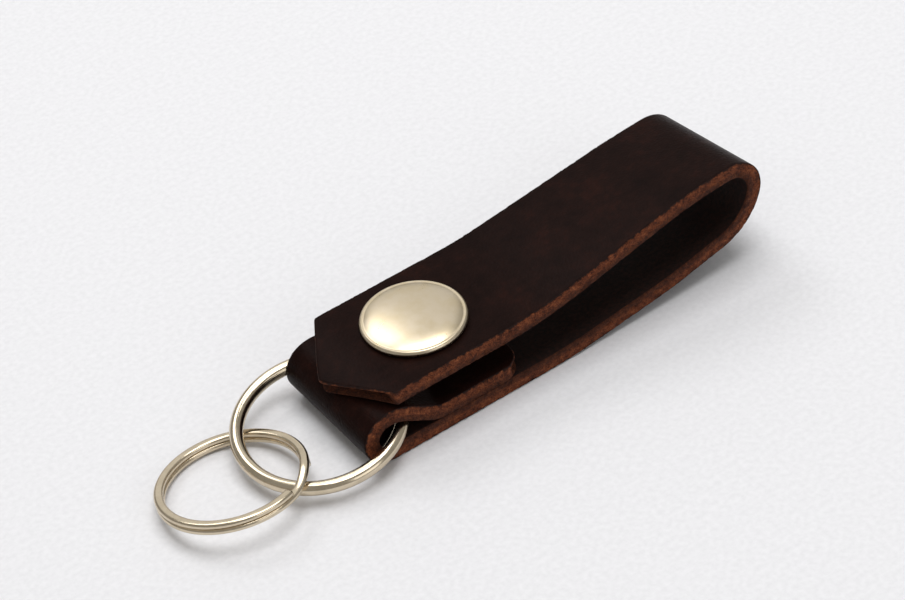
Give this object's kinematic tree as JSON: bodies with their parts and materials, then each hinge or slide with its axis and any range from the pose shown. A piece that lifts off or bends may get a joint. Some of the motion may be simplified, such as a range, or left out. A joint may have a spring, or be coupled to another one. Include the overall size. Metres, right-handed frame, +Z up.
{
  "type": "key fob",
  "caption": "Leather belt-loop key fob: a strap folded into a loop and closed by a snap, with a ring held in its front fold and a split ring for keys.",
  "frame": {"origin": "on the snap fastener's axis, on the underside of the strap", "axes": "+X along the strap towards the belt loop, +Y across the strap, +Z up, away from what the fob lies on"},
  "size_m": [0.095, 0.0248, 0.0178],
  "materials": {
    "leather": "smooth vegetable-tanned grain, dark chocolate brown, with raw reddish-brown cut edges",
    "nickel": "polished nickel plate, slightly warm",
    "spring_wire": "drawn spring wire"
  },
  "bodies": {
    "base": {"strap_base": "leather", "strap_bend": "leather", "snap_stud": "nickel", "stud_post": "nickel"},
    "flap": {"strap_flap": "leather", "snap_cap": "nickel", "cap_barrel": "nickel", "snap_socket": "nickel", "socket_spring": "spring_wire"},
    "large_ring": {"large_ring": "nickel"},
    "small_ring": {"small_split_ring": "nickel"}
  },
  "joints": [
    {"name": "flap_lift", "type": "hinge", "parent": "base", "child": "flap", "pos_m": [0.0469, 0, 0.0096], "axis": [0, 1, 0], "range_deg": [0, 80], "deforming": ["strap_bend", "socket_spring"]},
    {"name": "large_ring_turn", "type": "hinge", "parent": "base", "child": "large_ring", "pos_m": [-0.0171, -0.0005, 0.00377], "axis": [-0.0894, -0.0695, 0.9936], "range_deg": [-35, 35]},
    {"name": "small_ring_lift", "type": "hinge", "parent": "large_ring", "child": "small_ring", "pos_m": [-0.02503, -0.00869, 0.00248], "axis": [-0.0478, 0.9967, 0.0655], "range_deg": [0, 25]}
  ]
}
